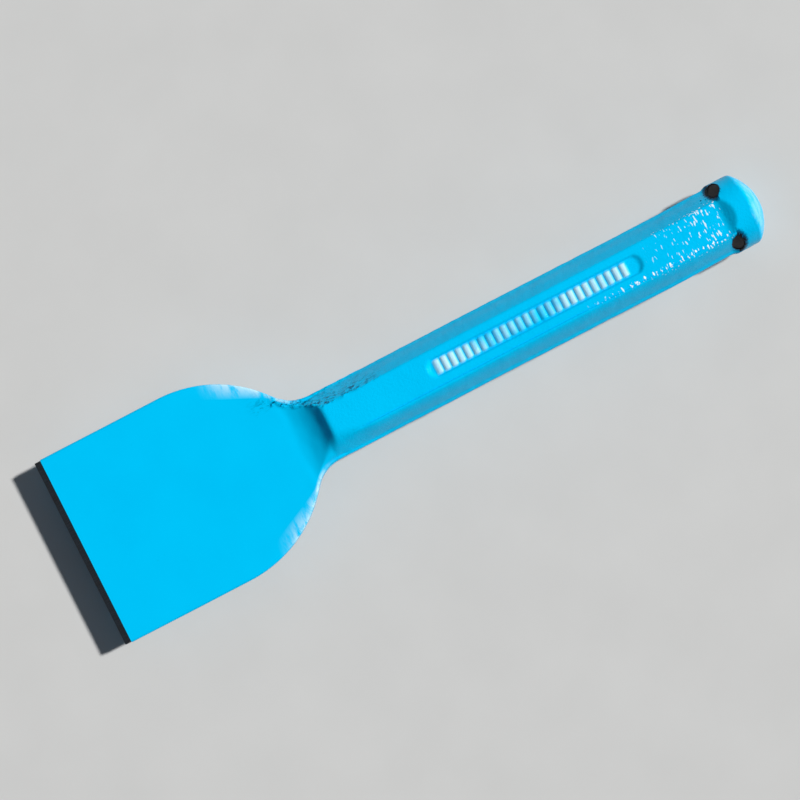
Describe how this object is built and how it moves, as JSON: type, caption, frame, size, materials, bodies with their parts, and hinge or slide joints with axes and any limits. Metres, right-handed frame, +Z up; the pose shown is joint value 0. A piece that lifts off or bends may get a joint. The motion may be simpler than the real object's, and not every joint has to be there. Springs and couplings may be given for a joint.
{
  "type": "floor scraper",
  "caption": "One-piece forged steel floor scraper with a wide flat blade, a hexagonal shank and a round striking head, dipped in blue enamel and ground bare at the edge.",
  "frame": {"origin": "under the middle of the tool's length and width, level with the lowest point of the head", "axes": "+X along the tool from the cutting edge to the struck end, +Y across the blade, +Z up out of the marked face"},
  "size_m": [0.241, 0.0644, 0.0238],
  "materials": {
    "forged_steel": "satin",
    "blue_enamel": "gloss"
  },
  "bodies": {
    "root": {"forged_body": "forged_steel", "enamel_coat": "blue_enamel"}
  },
  "joints": []
}
